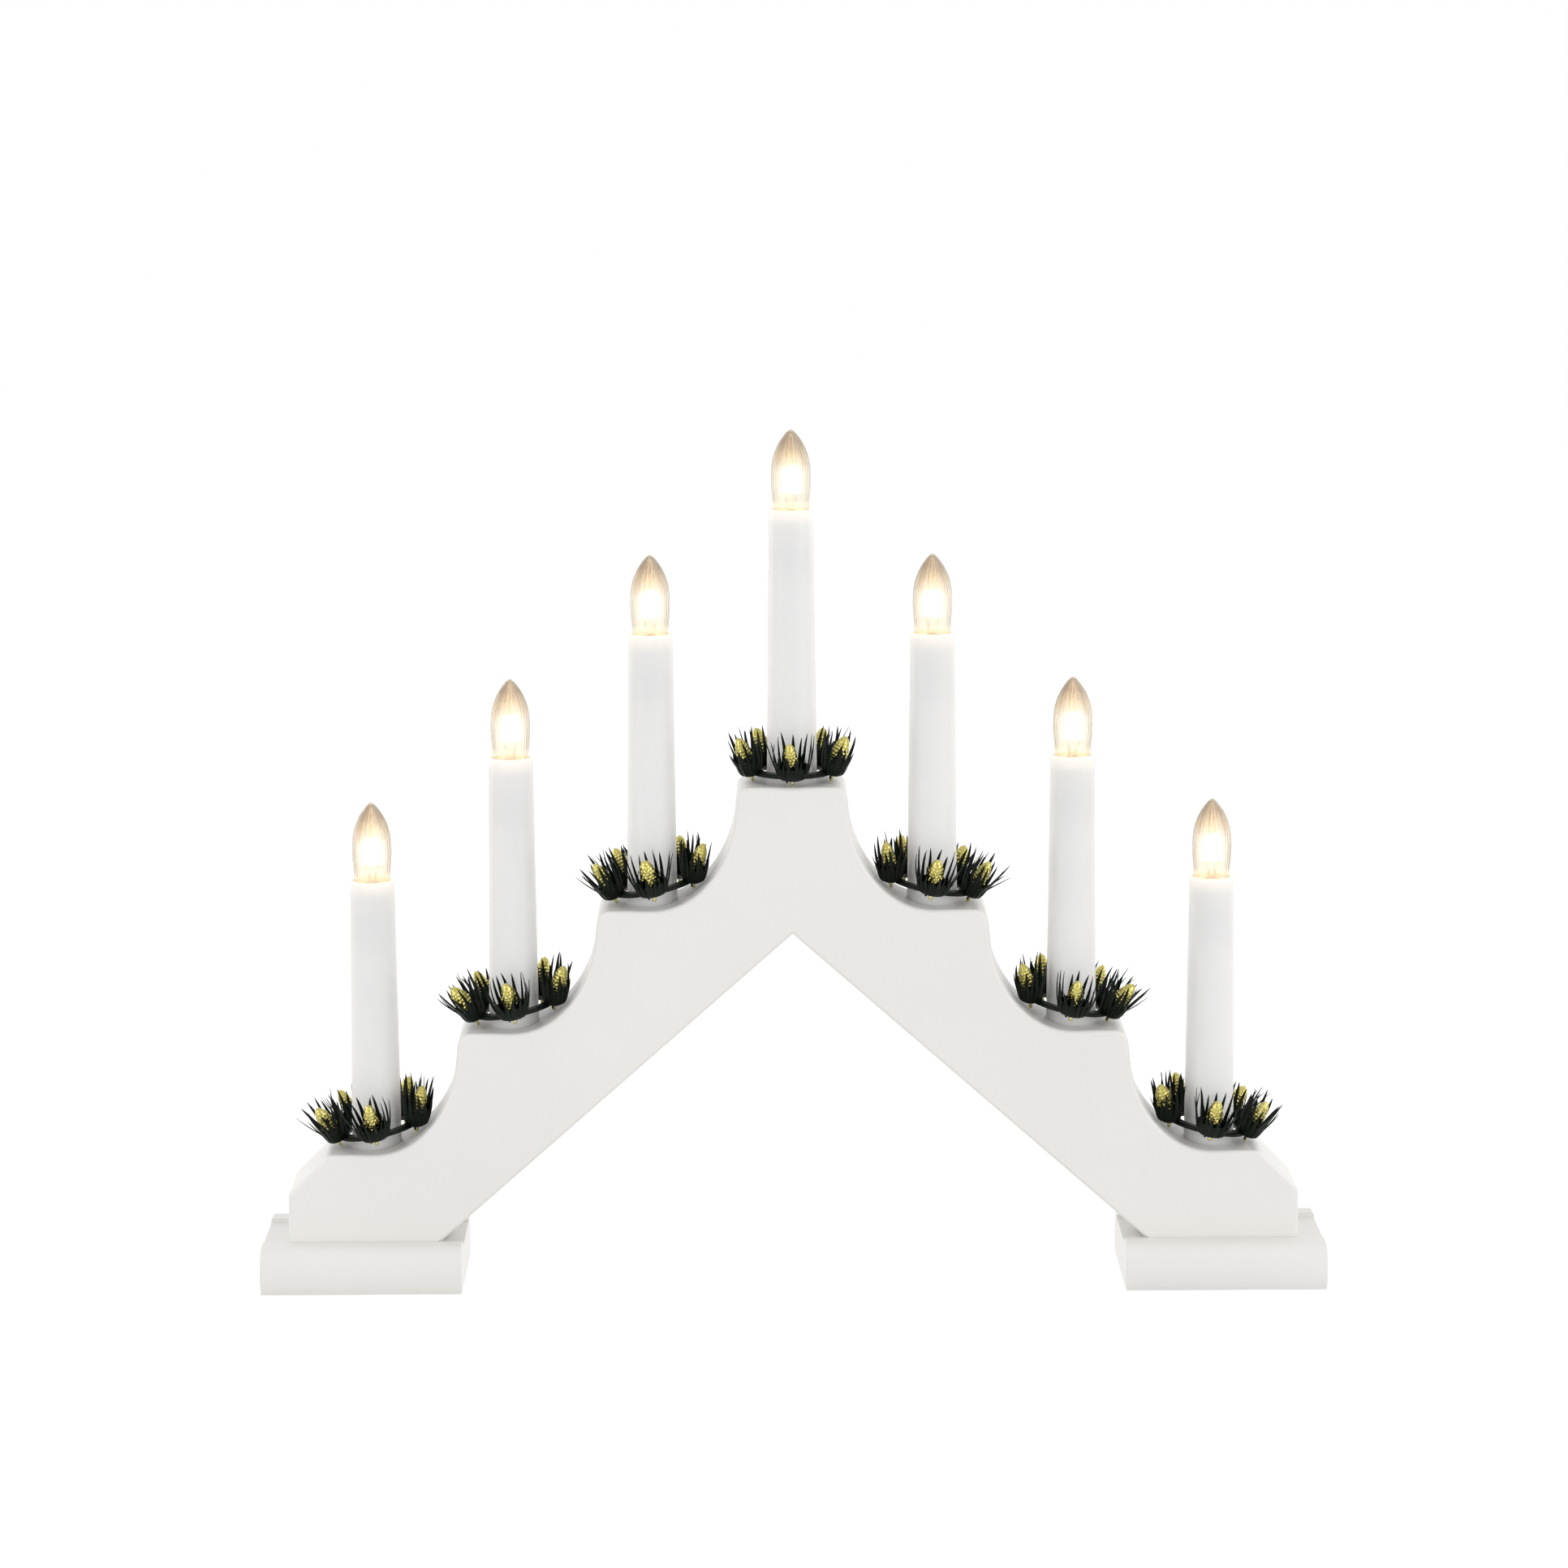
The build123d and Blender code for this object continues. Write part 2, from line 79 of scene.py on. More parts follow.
def camera_matrix():
    ahead = Vector((math.sin(CAMERA_YAW) * math.cos(CAMERA_PITCH),
                    math.cos(CAMERA_YAW) * math.cos(CAMERA_PITCH),
                    -math.sin(CAMERA_PITCH)))
    level = Vector((math.cos(CAMERA_YAW), -math.sin(CAMERA_YAW), 0))
    upward = level.cross(ahead)
    right = math.cos(CAMERA_ROLL) * level + math.sin(CAMERA_ROLL) * upward
    top = math.cos(CAMERA_ROLL) * upward - math.sin(CAMERA_ROLL) * level
    turn = Matrix((right, top, -ahead)).transposed()
    return Matrix.Translation(CAMERA_PLACE) @ turn.to_4x4()


camera_data = bpy.data.cameras.new("catalogue_camera")
camera_data.sensor_width = SENSOR_WIDTH
camera_data.lens = SENSOR_WIDTH * FOCAL_PIXELS / IMAGE_WIDTH
camera = add_to_scene("catalogue_camera", camera_data)
camera.matrix_world = camera_matrix()
bpy.context.scene.camera = camera
print("lens", round(camera_data.lens, 1), "mm")

# %% [markdown]
# ## Small tools for finishes
# Every finish starts from the same shader, and most need a noise, a colour ramp and a bump.
# A small class keeps the finishes below readable. Two of its methods follow what nearly every
# real surface does: mottle lets the colour wander between two shades, and uneven_gloss does the
# same with the roughness. Some colours are written as they look on screen, from 0 to 255, and
# turned into the linear values that the shader works with.

# %% Tools for finishes
def screen_colour(red, green, blue):
    def linear(v):
        v /= 255
        return v / 12.92 if v <= 0.04045 else ((v + 0.055) / 1.055) ** 2.4
    return (linear(red), linear(green), linear(blue))


class Finish:
    """A material with its shader, and short ways to add noise, ramps and bumps."""

    def __init__(self, name):
        self.material = bpy.data.materials.new(name)
        self.material.use_nodes = True
        self.nodes = self.material.node_tree.nodes
        self.links = self.material.node_tree.links
        self.shader = self.nodes["Principled BSDF"]
        self.place = self.nodes.new("ShaderNodeTexCoord")

    def set(self, **values):
        for socket, value in values.items():
            self.shader.inputs[socket.replace("_", " ")].default_value = value

    def into(self, output, socket):
        self.links.new(output, self.shader.inputs[socket])

    def noise(self, scale, detail=3.0, stretch=None):
        node = self.nodes.new("ShaderNodeTexNoise")
        node.inputs["Scale"].default_value = scale
        node.inputs["Detail"].default_value = detail
        source = self.place.outputs["Object"]
        if stretch:
            mapping = self.nodes.new("ShaderNodeMapping")
            mapping.inputs["Scale"].default_value = stretch
            self.links.new(source, mapping.inputs["Vector"])
            source = mapping.outputs["Vector"]
        self.links.new(source, node.inputs["Vector"])
        return node.outputs["Fac"]

    def height(self):
        """Zero at the foot of a piece and one at its top."""
        split = self.nodes.new("ShaderNodeSeparateXYZ")
        self.links.new(self.place.outputs["Generated"], split.inputs[0])
        return split.outputs["Z"]

    def ramp(self, value, *stops):
        node = self.nodes.new("ShaderNodeValToRGB")
        elements = node.color_ramp.elements
        while len(elements) < len(stops):
            elements.new(0.5)
        for element, (position, colour) in zip(elements, stops):
            element.position = position
            element.color = (*colour, 1.0)
        self.links.new(value, node.inputs["Fac"])
        return node.outputs["Color"]

    def levels(self, value, low, high):
        node = self.nodes.new("ShaderNodeMapRange")
        node.inputs["To Min"].default_value = low
        node.inputs["To Max"].default_value = high
        self.links.new(value, node.inputs["Value"])
        return node.outputs["Result"]

    def mottle(self, scale, dark, light, detail=3.0, spread=0.2, socket="Base Color"):
        """Colour that wanders between two shades."""
        wander = self.noise(scale, detail)
        self.into(self.ramp(wander, (0.5 - spread, dark), (0.5 + spread, light)), socket)

    def uneven_gloss(self, scale, low, high):
        self.into(self.levels(self.noise(scale), low, high), "Roughness")

    def bump(self, height, strength, distance):
        node = self.nodes.new("ShaderNodeBump")
        node.inputs["Strength"].default_value = strength
        node.inputs["Distance"].default_value = distance
        self.links.new(height, node.inputs["Height"])
        self.into(node.outputs["Normal"], "Normal")


def dress(finish, *names):
    """Gives CAD nodes a finish and leaves their shapes alone."""
    for name in names:
        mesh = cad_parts[name].data
        mesh.materials.clear()
        mesh.materials.append(finish.material)


MIDDLE_GREY = screen_colour(128, 128, 128)
print("a grey of 128 on screen is linear", round(MIDDLE_GREY[0], 3))

# %% [markdown]
# ## White paint on wood
# The arch and its feet are sprayed with a satin white paint, a little warm. Close up such paint
# has a fine orange-peel skin and faint cloudy shades, never a flat white. Two noises make these:
# a broad one moves the colour by a shade, a fine one gives the bump and the uneven gloss.

# %% White paint
BUMP_DISTANCE = 0.0002

paint = Finish("satin_white_paint")
paint.mottle(14.0, screen_colour(231, 230, 226), screen_colour(236, 235, 231), spread=0.25)
peel = paint.noise(900.0, 2.0)
paint.into(paint.levels(peel, 0.29, 0.41), "Roughness")
paint.bump(peel, 0.12, BUMP_DISTANCE)
dress(paint, "arch", "foot_left", "foot_right", "cover_strip_left", "cover_strip_right")
print("painted the arch, its feet and the cover strips")

# %% [markdown]
# ## White room
# A pale object on a white ground is easily drowned in light. So the room has two levels: an even
# pale world lights the object, while the camera, mirrors and glass see plain white behind it.
# The floor works in the same way. It shows itself as white with the shadow kept, and bounces
# light like plain pale paper.

# %% White room
WORLD_LEVEL = 0.78
FLOOR_SIZE = 6.0
FLOOR_BOUNCE = 0.8
FLOOR_SHADE = 0.45
FLOOR_WHITE = 0.75
WHITE = (1, 1, 1, 1)


def seen_directly(tree):
    """One for the camera, for mirrors and for glass; zero for scattered light."""
    path = tree.nodes.new("ShaderNodeLightPath")
    seen = path.outputs["Is Camera Ray"]
    for ray in ("Is Glossy Ray", "Is Transmission Ray"):
        either = tree.nodes.new("ShaderNodeMath")
        either.operation = "MAXIMUM"
        tree.links.new(seen, either.inputs[0])
        tree.links.new(path.outputs[ray], either.inputs[1])
        seen = either.outputs[0]
    return seen


def split_by_view(tree, light, shown, output):
    """One shader for scattered light, another for what is seen directly."""
    mix = tree.nodes.new("ShaderNodeMixShader")
    tree.links.new(seen_directly(tree), mix.inputs["Fac"])
    tree.links.new(light.outputs[0], mix.inputs[1])
    tree.links.new(shown.outputs[0], mix.inputs[2])
    tree.links.new(mix.outputs[0], tree.nodes[output].inputs["Surface"])


def matt(tree, grey):
    shader = tree.nodes.new("ShaderNodeBsdfDiffuse")
    shader.inputs["Color"].default_value = (grey, grey, grey, 1)
    return shader


def floor_paper():
    paper = bpy.data.materials.new("pale_floor")
    paper.use_nodes = True
    tree = paper.node_tree
    tree.nodes.remove(tree.nodes["Principled BSDF"])
    glow = tree.nodes.new("ShaderNodeEmission")
    glow.inputs["Strength"].default_value = FLOOR_WHITE
    white_with_shadow = tree.nodes.new("ShaderNodeAddShader")
    tree.links.new(matt(tree, FLOOR_SHADE).outputs[0], white_with_shadow.inputs[0])
    tree.links.new(glow.outputs[0], white_with_shadow.inputs[1])
    split_by_view(tree, matt(tree, FLOOR_BOUNCE), white_with_shadow, "Material Output")
    return paper


world = bpy.data.worlds.new("pale_room")
world.use_nodes = True
bpy.context.scene.world = world
fill = world.node_tree.nodes["Background"]
fill.inputs["Color"].default_value = WHITE
fill.inputs["Strength"].default_value = WORLD_LEVEL
backdrop = world.node_tree.nodes.new("ShaderNodeBackground")
backdrop.inputs["Color"].default_value = WHITE
backdrop.inputs["Strength"].default_value = 1.0
split_by_view(world.node_tree, fill, backdrop, "World Output")

half = FLOOR_SIZE / 2
floor_corners = [(-half, -half, 0), (half, -half, 0), (half, half, 0), (-half, half, 0)]
floor_mesh = bpy.data.meshes.new("floor")
floor_mesh.from_pydata(floor_corners, [], [(0, 1, 2, 3)])
floor_mesh.materials.append(floor_paper())
floor = add_to_scene("floor", floor_mesh)
print("room: world", WORLD_LEVEL, "floor", FLOOR_SIZE, "m")

# %% [markdown]
# ## Light panels
# White on white needs soft light from the sides. Four large panels stand at the corners, two in
# front and two behind. They brighten the edges of the round candles and leave their middles a
# little darker. The right side is a little stronger, so the two ends of the arch differ.

# %% Light panels
PANEL_SIZE = 1.3
PANEL_AIM = Vector((0, 0, 0.14))
PANELS = {"left_panel": ((-1.6, -1.2, 0.66), 7.8), "right_panel": ((1.65, -1.15, 0.66), 9.8),
          "back_left_panel": ((-1.5, 0.9, 0.3), 5.2), "back_right_panel": ((1.5, 0.9, 0.3), 5.2)}

for name, (place, power) in PANELS.items():
    light = bpy.data.lights.new(name, "AREA")
    light.energy = power
    light.size = PANEL_SIZE
    panel = add_to_scene(name, light)
    panel.location = place
    panel.rotation_euler = (PANEL_AIM - Vector(place)).to_track_quat("-Z", "Y").to_euler()
bpy.context.scene.view_settings.view_transform = "Standard"
print("panels, W:", {name: power for name, (place, power) in PANELS.items()})

# %% [markdown]
# ## Mesh tools
# Most pieces below are turned on a lathe or drawn along a path, so their points come in rings.
# One helper joins rings of points with quads. A Shape gathers such skins and turns them into a
# piece that rides on its CAD body, stands for its CAD node and takes its finishes.

# %% Mesh tools
def join_rings(rings, closed_start=False, closed_end=False, looped=False):
    """Points and faces of a skin over rings with the same number of points each."""
    count = len(rings[0])
    last = (len(rings) - 1) * count
    points = [p for ring in rings for p in ring]
    faces = []
    for r in range(len(rings) - 1):
        for i in range(count):
            j = (i + 1) % count
            faces.append((r * count + i, r * count + j, (r + 1) * count + j, (r + 1) * count + i))
    if closed_start:
        faces.append(tuple(reversed(range(count))))
    if closed_end:
        faces.append(tuple(range(last, last + count)))
    if looped:
        faces += [(last + i, last + (i + 1) % count, (i + 1) % count, i) for i in range(count)]
    return points, faces


class Shape:
    """Points and faces gathered from several skins, each with its place in the material list."""

    def __init__(self):
        self.points, self.faces, self.finishes = [], [], []

    def add(self, skin, finish=0, place=None):
        points, faces = skin
        start = len(self.points)
        self.points += [place @ Vector(p) if place else Vector(p) for p in points]
        self.faces += [tuple(start + i for i in face) for face in faces]
        self.finishes += [finish] * len(faces)

    def moved(self, offset):
        self.points = [p + offset for p in self.points]
        return self

    def piece(self, name, body, node, slot, finishes, sharp=35):
        mesh = bpy.data.meshes.new(name)
        mesh.from_pydata([p * MM for p in self.points], [], self.faces)
        for finish in finishes:
            mesh.materials.append(finish.material)
        mesh.polygons.foreach_set("material_index", self.finishes)
        mesh.update()
        mesh.shade_smooth()
        mesh.set_sharp_from_angle(angle=math.radians(sharp))
        piece = add_to_scene(name, mesh)
        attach(piece, body)
        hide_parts(node)


def polar(radius, angle, z):
    return Vector((radius * math.cos(angle), radius * math.sin(angle), z))


def circle(radius, z, count):
    step = 2 * math.pi / count
    return [polar(radius, i * step, z) for i in range(count)]


def along(knots, t):
    """Value at t on the straight runs between (place, value) knots."""
    for (t0, v0), (t1, v1) in zip(knots, knots[1:]):
        if t <= t1:
            s = (t - t0) / (t1 - t0)
            return v0 + (v1 - v0) * s
    return knots[-1][1]


def rim_place(station):
    """Middle of the rim of a candle, in millimetres."""
    low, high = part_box(f"candle_sleeve_{station}")
    return Vector(((low.x + high.x) / 2, (low.y + high.y) / 2, high.z)) / MM


RIMS = {n: rim_place(n) for n in STATIONS}
print("rims, mm:", [tuple(round(v, 1) for v in RIMS[n]) for n in STATIONS])

# %% [markdown]
# ## Candle sleeves
# The candles are moulded in white plastic that lets light through. The lit lamp warms the top
# of each sleeve, and the glow fades downwards; here that glow is painted. The turned CAD shape
# is right as it is, so only its finish is made here: scattering below the skin, and a painted
# glow, a faint warm emission near the rim that follows the height on the sleeve.

# %% Candle plastic
candle = Finish("candle_plastic")
candle.set(Roughness=0.32, Subsurface_Weight=0.6, Subsurface_Scale=0.005)
candle.set(Subsurface_Radius=(1.0, 0.95, 0.88))
candle.set(Sheen_Weight=1.0, Sheen_Roughness=0.5, Sheen_Tint=(1.0, 0.95, 0.88, 1))
candle.mottle(30.0, screen_colour(237, 237, 235), screen_colour(242, 241, 239))
# Painted glow: warm emission near the rim, fading downwards, stands in for the light of the lamp.
painted_rim_glow = candle.ramp(candle.height(), (0.86, (0, 0, 0)), (0.94, (0.04, 0.032, 0.022)),
                       (0.985, (0.11, 0.088, 0.062)), (1.0, (0.24, 0.19, 0.13)))
candle.into(painted_rim_glow, "Emission Color")
candle.set(Emission_Strength=1.0)
candle.bump(candle.noise(700.0, 2.0), 0.05, BUMP_DISTANCE)
dress(candle, *(f"candle_sleeve_{n}" for n in STATIONS))
print("finished", len(STATIONS), "sleeves")

# %% [markdown]
# ## Lamp glass
# Each lamp is a small pointed flame of clear glass, smooth outside, with fine upright flutes
# inside that break the light into streaks. Flutes that only live in a bump map do not bend
# light, so they are real here: a profile is turned about the axis twice, and the inner wall
# swings in and out. Where the glass was sealed, the tip is a solid bead.

# %% Lamp glass shape
LAMP_LENGTH = 29.4
FLUTES = 36
POINTS_PER_FLUTE = 6
FLUTE_DEPTH = 0.06
GLASS_WALL = 0.6
TIP_RINGS = 3
OUTER_POINTS = 72
# Distance below the tip, and radius there
GLASS_PROFILE = ((0.0, 0.02), (0.07, 0.36), (0.28, 0.72), (0.74, 1.25), (1.2, 1.75), (1.7, 2.2),
                 (2.4, 2.75), (3.0, 3.2), (3.7, 3.65), (4.7, 4.3), (5.9, 4.95), (7.1, 5.5),
                 (8.3, 6.0), (9.6, 6.42), (10.8, 6.75), (12.0, 7.0), (13.2, 7.18), (14.5, 7.3),
                 (17.0, 7.42), (19.4, 7.42), (21.8, 7.3), (24.3, 7.1), (26.7, 6.88), (29.4, 6.7),
                 (30.8, 6.05), (32.4, 5.0), (34.2, 4.2), (37.2, 4.15))
# Distance below the tip, and share of the depth that the flutes have there
FLUTE_FADE = ((0, 0), (2.0, 0.1), (6.0, 1), (29, 1), (33, 0), (40, 0))


def fluted_circle(radius, z, depth):
    count = FLUTES * POINTS_PER_FLUTE
    ring = []
    for i in range(count):
        angle = 2 * math.pi * i / count
        ring.append(polar(radius - depth * (0.5 - 0.5 * math.cos(FLUTES * angle)), angle, z))
    return ring


def glass_shape():
    outer = [circle(r, LAMP_LENGTH - d, OUTER_POINTS) for d, r in GLASS_PROFILE]
    inner = [fluted_circle(r - GLASS_WALL, LAMP_LENGTH - d, FLUTE_DEPTH * along(FLUTE_FADE, d))
             for d, r in GLASS_PROFILE[TIP_RINGS:]]
    tip = outer[:TIP_RINGS + 1]
    shape = Shape()
    shape.add(join_rings(outer[TIP_RINGS:][::-1]), 0)
    shape.add(join_rings(inner), 0)
    shape.add(join_rings(tip[::-1], closed_start=True, closed_end=True), 1)
    return shape


print("lamp glass:", len(glass_shape().points), "points")

# %% [markdown]
# ## Finish of the lamp glass
# Clear glass would show only the white room. So the light and shade of the lit lamp are painted
# into the colour of the glass: a paler band beside the filament as painted glow, darker brown
# towards the tip, painted shade along the outline, and pale streaks of painted light that meet at
# the tip. The tint follows the height, a noise that depends only on the direction from the axis
# makes the streaks, and the foot gets a faint painted glow, an emission standing in for the light
# of the lit rim around it.

# %% Lamp glass finish
GLASS_INDEX = 1.45
STREAK_SCALE = 9.0
STREAK_DETAIL = 3.0
PAINTED_STREAK_COLOUR = (1.0, 0.98, 0.94, 1)


def vector_step(finish, operation, source, operand=None):
    node = finish.nodes.new("ShaderNodeVectorMath")
    node.operation = operation
    finish.links.new(source, node.inputs[0])
    if operand:
        node.inputs[1].default_value = operand
    return node.outputs[0]


def streaks(finish):
    """Noise by the direction from the axis alone."""
    centred = vector_step(finish, "SUBTRACT", finish.place.outputs["Generated"], (0.5, 0.5, 0.0))
    level = vector_step(finish, "MULTIPLY", centred, (1, 1, 0))
    direction = vector_step(finish, "NORMALIZE", level)
    streak = finish.nodes.new("ShaderNodeTexNoise")
    streak.inputs["Scale"].default_value = STREAK_SCALE
    streak.inputs["Detail"].default_value = STREAK_DETAIL
    finish.links.new(direction, streak.inputs["Vector"])
    return streak.outputs["Fac"]


def glass_tint_and_painted_light(finish, streak):
    """Warm tint by height with a painted glow beside the filament, broken by painted pale streaks of
    light, and darkened at the outline as painted shade.
    """
    nodes, links = finish.nodes, finish.links
    # Painted glow: the band beside the filament is paler; the colour darkens towards the tip.
    tint = finish.ramp(finish.height(), (0.0, (0.96, 0.91, 0.82)), (0.22, (0.95, 0.88, 0.76)),
                       (0.38, (0.985, 0.94, 0.86)), (0.58, (0.975, 0.92, 0.83)),
                       (0.74, (0.78, 0.66, 0.50)), (0.88, (0.58, 0.47, 0.35)),
                       (1.0, (0.60, 0.51, 0.41)))
    # Painted light: pale streaks, set by the direction from the axis, are mixed into the colour.
    pale = finish.ramp(streak, (0.42, (0, 0, 0)), (0.64, (0.65, 0.65, 0.65)))
    streaked = nodes.new("ShaderNodeMix")
    streaked.data_type = "RGBA"
    streaked.inputs["B"].default_value = PAINTED_STREAK_COLOUR
    links.new(pale, streaked.inputs["Factor"])
    links.new(tint, streaked.inputs["A"])
    # Painted shade: Layer Weight darkens the colour of the glass towards its outline.
    facing = nodes.new("ShaderNodeLayerWeight")
    facing.inputs["Blend"].default_value = 0.5
    outline = finish.ramp(facing.outputs["Facing"], (0.30, (1, 1, 1)), (0.75, (0.87, 0.77, 0.62)),
                          (0.97, (0.48, 0.40, 0.31)))
    tint_with_painted_shade = nodes.new("ShaderNodeMix")
    tint_with_painted_shade.data_type = "RGBA"
    tint_with_painted_shade.blend_type = "MULTIPLY"
    tint_with_painted_shade.inputs["Factor"].default_value = 1.0
    links.new(streaked.outputs["Result"], tint_with_painted_shade.inputs["A"])
    links.new(outline, tint_with_painted_shade.inputs["B"])
    return tint_with_painted_shade.outputs["Result"]


glass = Finish("ribbed_clear_glass")
glass.set(IOR=GLASS_INDEX, Transmission_Weight=1.0)
streak = streaks(glass)
glass.into(glass_tint_and_painted_light(glass, streak), "Base Color")
glass.into(glass.levels(streak, 0.02, 0.40), "Roughness")
# Painted glow: emission near the foot of the glass stands in for light from the lit rim around it.
painted_foot_glow = glass.ramp(glass.height(), (0.14, (0.12, 0.095, 0.07)), (0.225, (0.10, 0.078, 0.058)),
                       (0.30, (0, 0, 0)))
glass.into(painted_foot_glow, "Emission Color")
glass.set(Emission_Strength=1.0)
sealed_tip = Finish("sealed_glass_tip")
sealed_tip.set(Roughness=0.12)
sealed_tip.mottle(900.0, screen_colour(196, 180, 152), screen_colour(222, 208, 184))
for n in STATIONS:
    glass_shape().moved(RIMS[n]).piece(f"lamp_glass_ribbed_{n}", f"lamp_{n}", f"lamp_glass_{n}",
                                       "lamp_glass", [glass, sealed_tip])
print("turned", len(STATIONS), "lamps with", FLUTES, "flutes inside")

# %% [markdown]
# ## Filament
# Inside the glass two stiff lead wires rise from the cap through a glass bead and carry a coiled
# filament, which is the bright core of the lit lamp. The coil is a helix drawn along a zigzag
# of two hairpins, as thick as it looks when it glows, and its finish gives off light.

# %% Filament shape
LEAD_SPACING, LEAD_RADIUS = 1.2, 0.2
LEAD_FOOT, LEAD_KNEE = -12.2, 2.0
COIL_PATH = ((-2.7, 6.2), (-2.3, 13.6), (-1.1, 15.2), (-0.8, 7.0),
             (0.8, 6.6), (1.1, 15.4), (2.3, 13.8), (2.7, 6.2))
COIL_RADIUS = 0.55
COIL_PITCH = 0.8
COIL_WIRE = 0.24
COIL_STEP = 0.12
BEAD_RADIUS, BEAD_END = 2.9, 0.05
BEAD_FOOT, BEAD_STEP = -3.6, 0.45
BEAD_STEPS = 8
BEAD_POINTS = 16
# A direction that no wire of the lamp follows
ASIDE = Vector((0.31, 0.95, 0.05))


def tube(path, radius, count=6):
    """Skin of a round wire along points, closed at both ends."""
    rings = []
    for i, p in enumerate(path):
        way = (path[min(i + 1, len(path) - 1)] - path[max(i - 1, 0)]).normalized()
        side = way.cross(ASIDE).normalized()
        other = way.cross(side)
        rings.append([p + radius * (math.cos(k * 2 * math.pi / count) * side
                                    + math.sin(k * 2 * math.pi / count) * other) for k in range(count)])
    return join_rings(rings, closed_start=True, closed_end=True)


def coil_points():
    """Helix along the zigzag of the filament, in the plane of the two leads."""
    knots = [Vector((x, 0, z)) for x, z in COIL_PATH]
    depth = Vector((0, 1, 0))
    helix, run = [], 0.0
    for start, end in zip(knots, knots[1:]):
        way = (end - start).normalized()
        beside = way.cross(depth)
        steps = max(2, int((end - start).length / COIL_STEP))
        for i in range(steps):
            turn = 2 * math.pi * run / COIL_PITCH
            around = COIL_RADIUS * (math.cos(turn) * depth + math.sin(turn) * beside)
            helix.append(start.lerp(end, i / steps) + around)
            run += (end - start).length / steps
    return helix


def bead_skin():
    rings = []
    for k in range(BEAD_STEPS + 1):
        radius = max(BEAD_END, BEAD_RADIUS * math.sin(math.pi * k / BEAD_STEPS) ** 0.6)
        rings.append(circle(radius, BEAD_FOOT + BEAD_STEP * k, BEAD_POINTS))
    return join_rings(rings, closed_start=True, closed_end=True)


def filament_shape():
    shape = Shape()
    end_x, end_z = COIL_PATH[-1]
    for side in (-1, 1):
        foot = Vector((side * LEAD_SPACING, 0, LEAD_FOOT))
        knee = Vector((side * LEAD_SPACING, 0, LEAD_KNEE))
        shape.add(tube([foot, knee, Vector((side * end_x, 0, end_z))], LEAD_RADIUS), 0)
    shape.add(bead_skin(), 1)
    shape.add(tube(coil_points(), COIL_WIRE, 4), 2)
    return shape


print("filament:", len(coil_points()), "points on the coil")

# %% [markdown]
# ## Finish of the filament
# The leads are copper-clad wire, the bead is milky glass, and the coil gives off the warm light
# of the lamp. Only the coil is bright enough to glare, so the rest needs little care.

# %% Filament finish
lead_metal = Finish("lead_wire_copper_clad")
lead_metal.set(Metallic=0.6)
lead_metal.mottle(900.0, (0.72, 0.62, 0.42), (0.86, 0.76, 0.56))
lead_metal.uneven_gloss(1500.0, 0.25, 0.45)
bead_glass = Finish("bead_glass")
bead_glass.set(Roughness=0.15, Transmission_Weight=0.6, IOR=GLASS_INDEX)
bead_glass.mottle(500.0, (0.80, 0.78, 0.72), (0.92, 0.9, 0.86))
glowing = Finish("glowing_coil")
glowing.set(Base_Color=(0.2, 0.15, 0.1, 1), Emission_Strength=14.0)
glowing.mottle(400.0, (1.0, 0.80, 0.52), (1.0, 0.88, 0.68), spread=0.3, socket="Emission Color")
for n in STATIONS:
    filament_shape().moved(RIMS[n]).piece(f"lamp_filament_coiled_{n}", f"lamp_{n}",
                                          f"lamp_filament_{n}", "filament",
                                          [lead_metal, bead_glass, glowing])
print("wound", len(STATIONS), "filaments at a pitch of", COIL_PITCH, "mm")

# %% [markdown]
# ## Screw cap and contact
# When a lamp is unscrewed its brass cap comes into view, so the thread is real: a helix whose
# radius swings once per turn while it climbs one pitch. The insulator below is black glass
# with a drop of solder as the centre contact.

# %% Screw cap and contact
CAP_TOP, CAP_BOTTOM = -5.0, -14.0
CAP_RADIUS = 4.8
CAP_ROWS, CAP_POINTS = 46, 48
CAP_INSIDE = ((4.25, CAP_TOP), (4.22, CAP_BOTTOM + 0.5), (3.9, CAP_BOTTOM + 0.3), (3.9, CAP_BOTTOM))
THREAD_DEPTH = 0.34
THREAD_PITCH = 1.814
# Share of the height of the cap, and share of the depth that the thread has there
THREAD_FADE = ((0, 0), (0.08, 0.2), (0.16, 1), (0.84, 1), (0.93, 0.2), (1.0, 0.0))
CONTACT_POINTS = 32
INSULATOR_PROFILE = ((4.0, -12.5), (4.0, -13.4), (3.7, -13.4), (3.7, -14.05), (3.1, -14.6),
                     (2.2, -15.2), (1.75, -15.45))
SOLDER_PROFILE = ((1.75, -15.45), (1.7, -15.8), (1.35, -16.2), (0.8, -16.36), (0.1, -16.4))


def thread_ring(share):
    z = CAP_BOTTOM + (CAP_TOP - CAP_BOTTOM) * share
    fade = along(THREAD_FADE, share)
    ring = []
    for i in range(CAP_POINTS):
        angle = 2 * math.pi * i / CAP_POINTS
        swing = 0.5 - 0.5 * math.cos(2 * math.pi * z / THREAD_PITCH - angle)
        ring.append(polar(CAP_RADIUS - THREAD_DEPTH * (fade * swing + (1 - fade) * 0.5), angle, z))
    return ring


def cap_shape():
    outside = [thread_ring(k / CAP_ROWS) for k in range(CAP_ROWS + 1)]
    inside = [circle(r, z, CAP_POINTS) for r, z in CAP_INSIDE]
    shape = Shape()
    shape.add(join_rings(outside + inside, looped=True))
    return shape


def contact_shape():
    insulator = [circle(r, z, CONTACT_POINTS) for r, z in reversed(INSULATOR_PROFILE)]
    solder = [circle(r, z, CONTACT_POINTS) for r, z in reversed(SOLDER_PROFILE)]
    shape = Shape()
    shape.add(join_rings(insulator, closed_end=True), 0)
    shape.add(join_rings(solder, closed_start=True), 1)
    return shape


